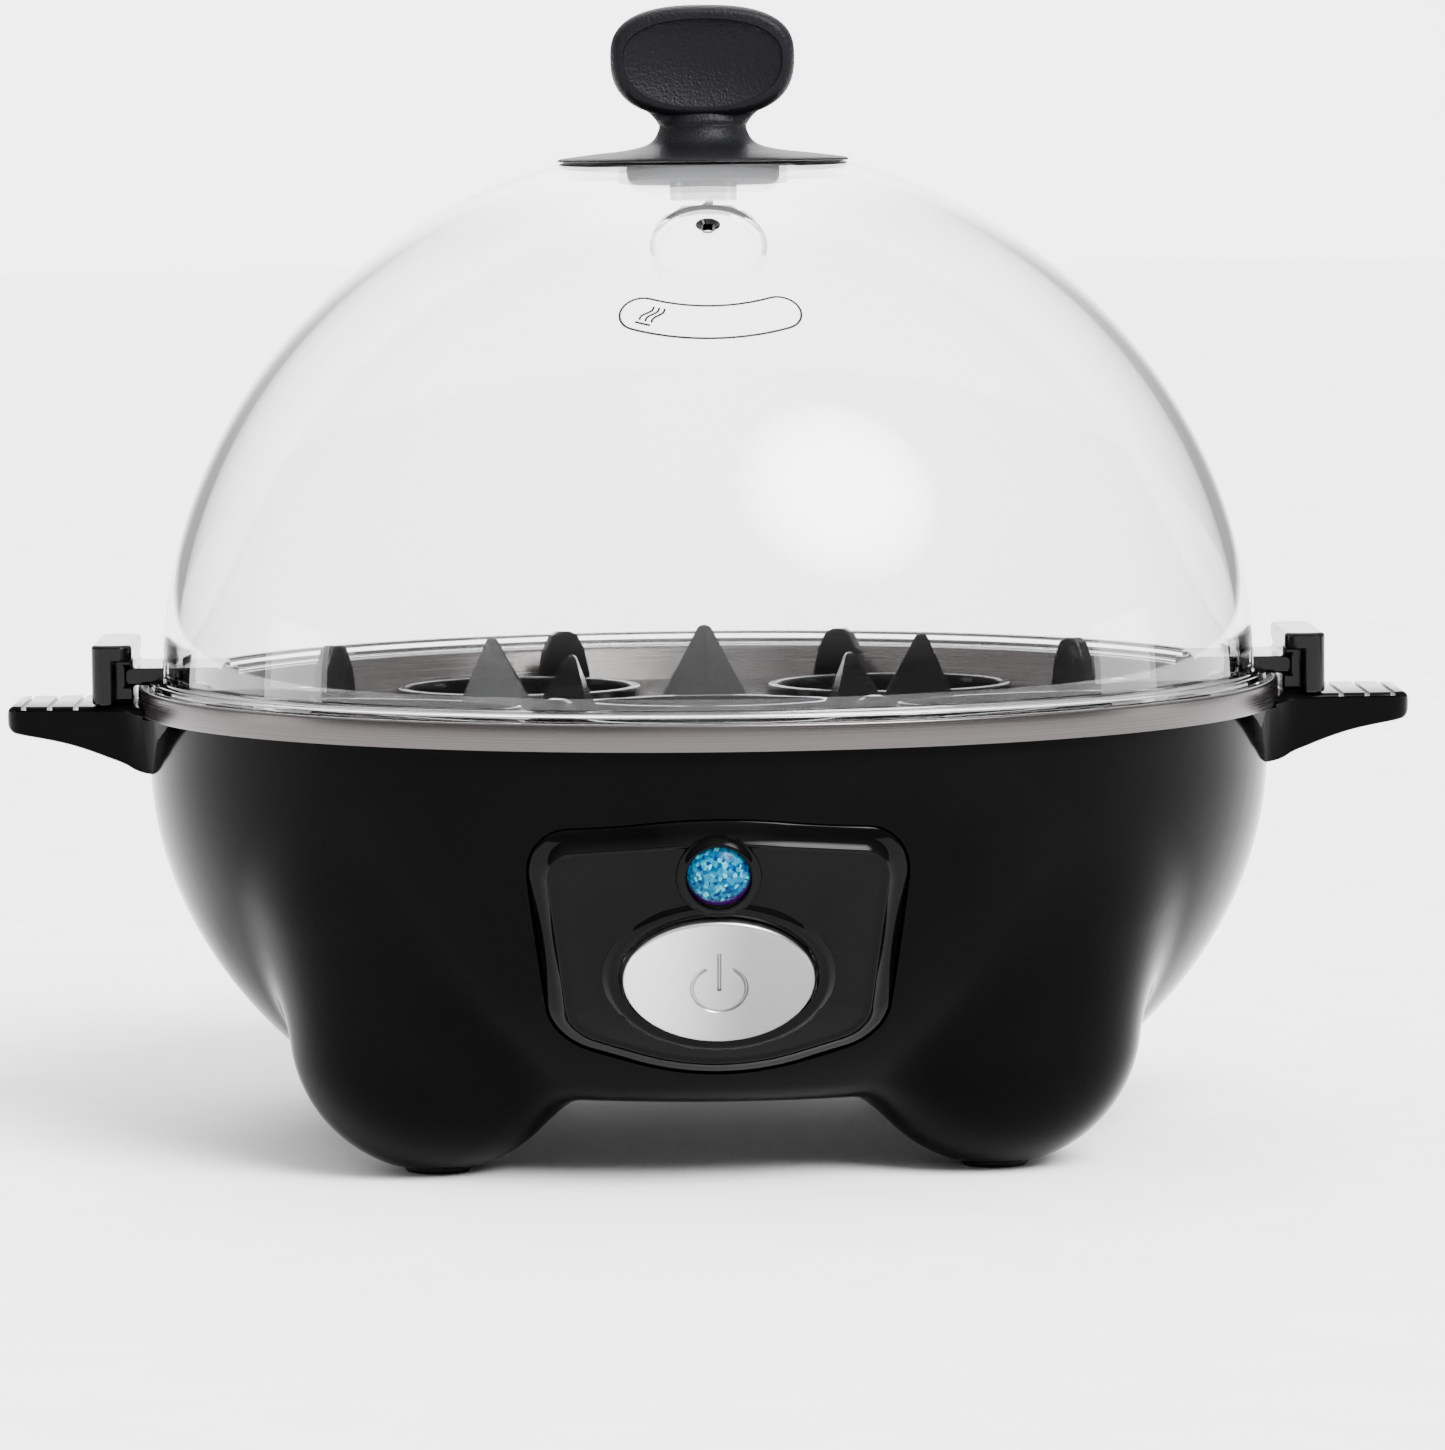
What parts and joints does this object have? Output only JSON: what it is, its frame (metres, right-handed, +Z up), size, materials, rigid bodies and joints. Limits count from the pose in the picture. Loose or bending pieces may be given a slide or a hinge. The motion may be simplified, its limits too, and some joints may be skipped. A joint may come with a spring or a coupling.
{
  "type": "egg cooker",
  "caption": "Electric egg cooker: round bowl base on four bulbous feet, steel heating pan, egg tray with lifting ears and a clear domed lid with a knob.",
  "frame": {"origin": "on the table, at the centre of the base", "axes": "+Z up, -Y towards the control panel, X through the two handles"},
  "size_m": [0.199, 0.1624, 0.1606],
  "materials": {
    "clear_plastic": "polished clear",
    "knob_black": "fine grain",
    "tray_black": "satin",
    "silver_button": "satin silver paint",
    "white_plastic": "plain",
    "gloss_black": "glossy",
    "panel_black": "high gloss",
    "blue_lens": "faceted clear",
    "lamp_glass": "clear",
    "zinc_steel": "bright zinc",
    "brushed_steel": "brushed round the rim",
    "silicone": "matte",
    "aluminium": "mill",
    "element_steel": "dull",
    "dark_resin": "moulded",
    "fuse_ceramic": "ceramic",
    "red_wire": "smooth sleeve",
    "soft_black": "matte"
  },
  "bodies": {
    "base": {"base_body": "gloss_black", "handle_left": "gloss_black", "handle_right": "gloss_black", "handle_screws": "zinc_steel", "control_panel": "panel_black", "indicator_lens": "blue_lens", "indicator_lamp": "lamp_glass", "button_guide": "white_plastic", "button_spring": "zinc_steel", "switch_bracket": "zinc_steel", "bracket_screws": "zinc_steel", "power_switch": "white_plastic", "heating_pan": "brushed_steel", "pan_gasket": "silicone", "heat_spreader": "aluminium", "heating_element": "element_steel", "pan_posts": "element_steel", "pan_screws": "zinc_steel", "heat_shield": "aluminium", "thermostat": "dark_resin", "thermostat_clip": "zinc_steel", "thermal_fuse": "fuse_ceramic", "fuse_clip": "zinc_steel", "terminal_block": "white_plastic", "buzzer": "dark_resin", "wires": "red_wire", "cord_inlet": "soft_black", "bottom_cover": "gloss_black", "cover_screws": "zinc_steel", "foot_pads": "soft_black"},
    "tray": {"egg_tray": "tray_black"},
    "lid": {"lid_dome": "clear_plastic", "lid_knob": "knob_black", "knob_washer": "silicone", "knob_screw": "zinc_steel"},
    "button": {"power_button": "silver_button", "button_stem": "white_plastic", "switch_plunger": "white_plastic"}
  },
  "joints": [
    {"name": "tray_lift", "type": "slide", "parent": "base", "child": "tray", "axis": [0, 0, 1], "range_m": [0, 0.08]},
    {"name": "lid_lift", "type": "slide", "parent": "tray", "child": "lid", "axis": [0, 0, 1], "range_m": [0, 0.12]},
    {"name": "button_press", "type": "slide", "parent": "base", "child": "button", "axis": [0, 0.8829, 0.4695], "range_m": [0, 0.002], "stiffness_N_per_m": 400, "springref_m": -0.001, "deforming": ["button_spring"]}
  ]
}
